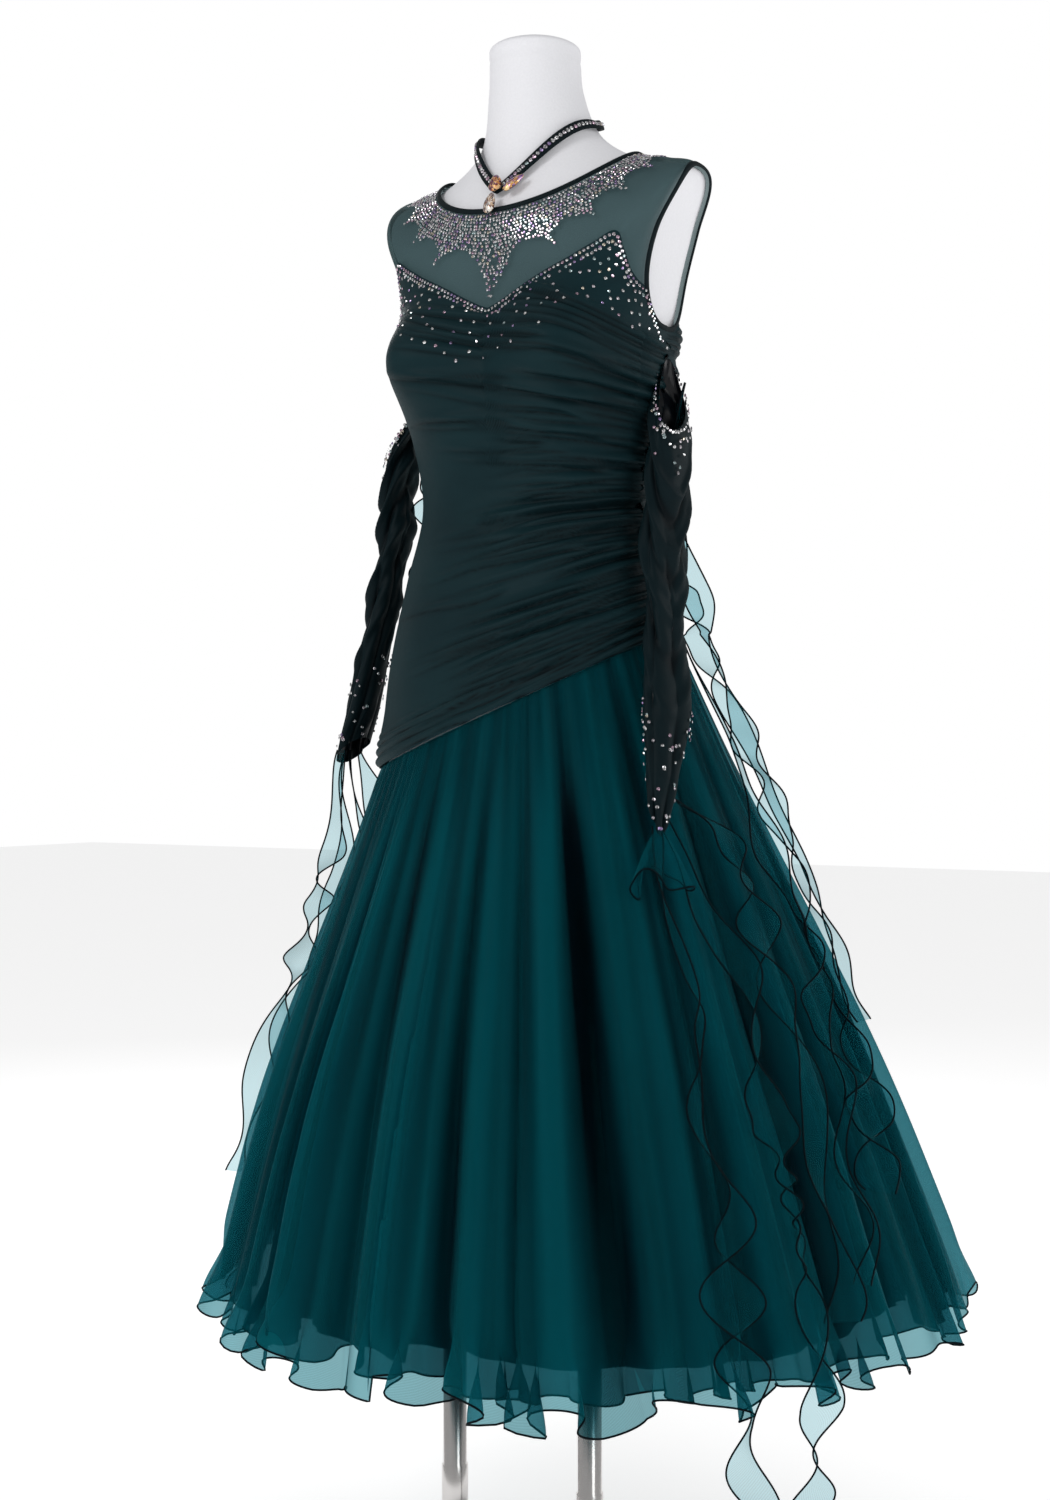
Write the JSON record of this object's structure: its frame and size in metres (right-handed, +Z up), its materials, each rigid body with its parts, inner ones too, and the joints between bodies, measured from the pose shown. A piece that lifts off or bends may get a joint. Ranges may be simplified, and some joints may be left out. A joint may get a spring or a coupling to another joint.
{
  "type": "ballroom dance dress on a limbless dress form with a stand",
  "caption": "Sleeveless ballroom dance dress with a sheer yoke, draped jersey bodice, flared organza skirt and hanging sleeves with floats, on a limbless dress form and stand.",
  "frame": {"origin": "middle of the underside of the stand's round plate", "axes": "+Z up along the dress form; the front of the dress faces -Y; the wearer's left is +X"},
  "size_m": [0.8938, 0.8707, 1.7422],
  "materials": {
    "jersey": "matte stretch jersey",
    "mesh": "sheer power mesh",
    "organza": "sheer organza",
    "lining": "dark satin",
    "linen": "white cloth cover",
    "polished": "polished tube",
    "plate": "satin",
    "crystal": "cut glass"
  },
  "bodies": {
    "root": {"armhole_binding_left": "jersey", "armhole_binding_right": "jersey", "bodice_back_left": "jersey", "bodice_back_right": "jersey", "bodice_front": "jersey", "crystal_drop": "crystal", "crystal_round": "crystal", "crystal_slanted": "crystal", "float_left_1": "organza", "float_left_2": "organza", "float_left_3": "organza", "float_left_4": "organza", "float_left_5": "organza", "float_left_6": "organza", "float_right_1": "organza", "float_right_2": "organza", "float_right_3": "organza", "float_right_4": "organza", "float_right_5": "organza", "form_torso": "linen", "neck_band": "jersey", "neck_binding": "jersey", "skirt_lining_1": "lining", "skirt_lining_2": "lining", "skirt_lining_3": "lining", "skirt_lining_4": "lining", "skirt_outer_1": "organza", "skirt_outer_2": "organza", "skirt_outer_3": "organza", "skirt_outer_4": "organza", "skirt_outer_5": "organza", "skirt_outer_6": "organza", "skirt_outer_7": "organza", "skirt_outer_8": "organza", "skirt_under_1": "organza", "skirt_under_2": "organza", "skirt_under_3": "organza", "skirt_under_4": "organza", "skirt_under_5": "organza", "skirt_under_6": "organza", "sleeve_left": "jersey", "sleeve_right": "jersey", "stand_plate": "plate", "stand_pole_left": "polished", "stand_pole_right": "polished", "yoke_back_left": "mesh", "yoke_back_right": "mesh", "yoke_front": "mesh"}
  },
  "joints": []
}
